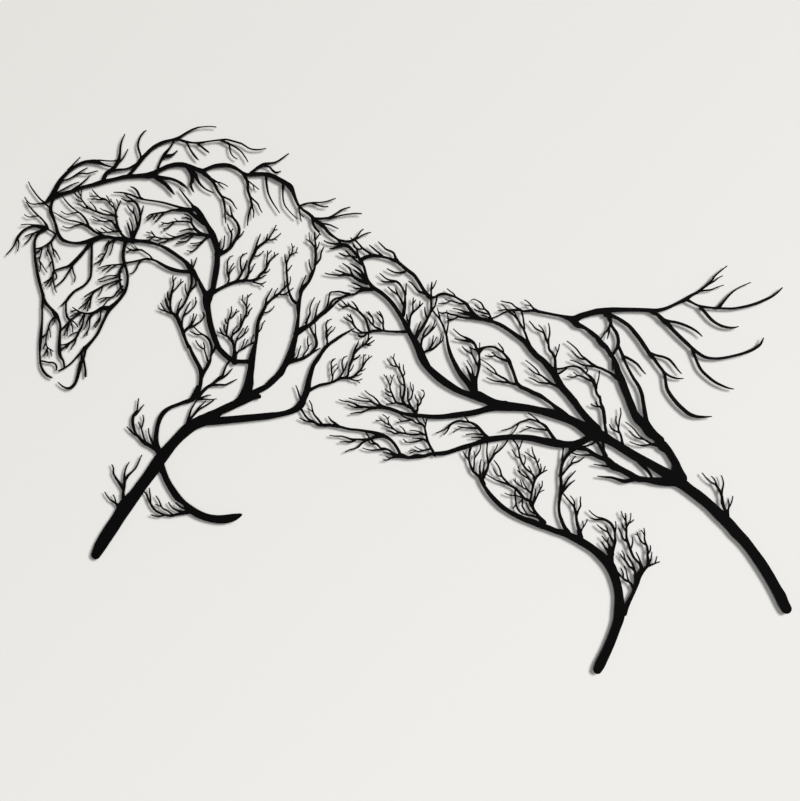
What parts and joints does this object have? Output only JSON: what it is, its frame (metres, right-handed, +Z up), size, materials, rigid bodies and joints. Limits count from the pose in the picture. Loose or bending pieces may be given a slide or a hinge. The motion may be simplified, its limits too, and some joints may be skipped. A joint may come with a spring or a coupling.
{
  "type": "metal wall art",
  "caption": "Leaping horse silhouette drawn as bare tree limbs, cut from one flat steel plate in satin black and held just off the wall on short round studs.",
  "frame": {"origin": "middle of the wall face of the stud behind the shoulder", "axes": "+X from the horse's head to its tail as seen from the front, +Y from the plate into the wall, +Z up the wall"},
  "size_m": [1.1999, 0.012, 0.8373],
  "materials": {
    "powder_coat_black": "satin powder coat"
  },
  "bodies": {
    "root": {"horse_plate": "powder_coat_black"}
  },
  "joints": []
}
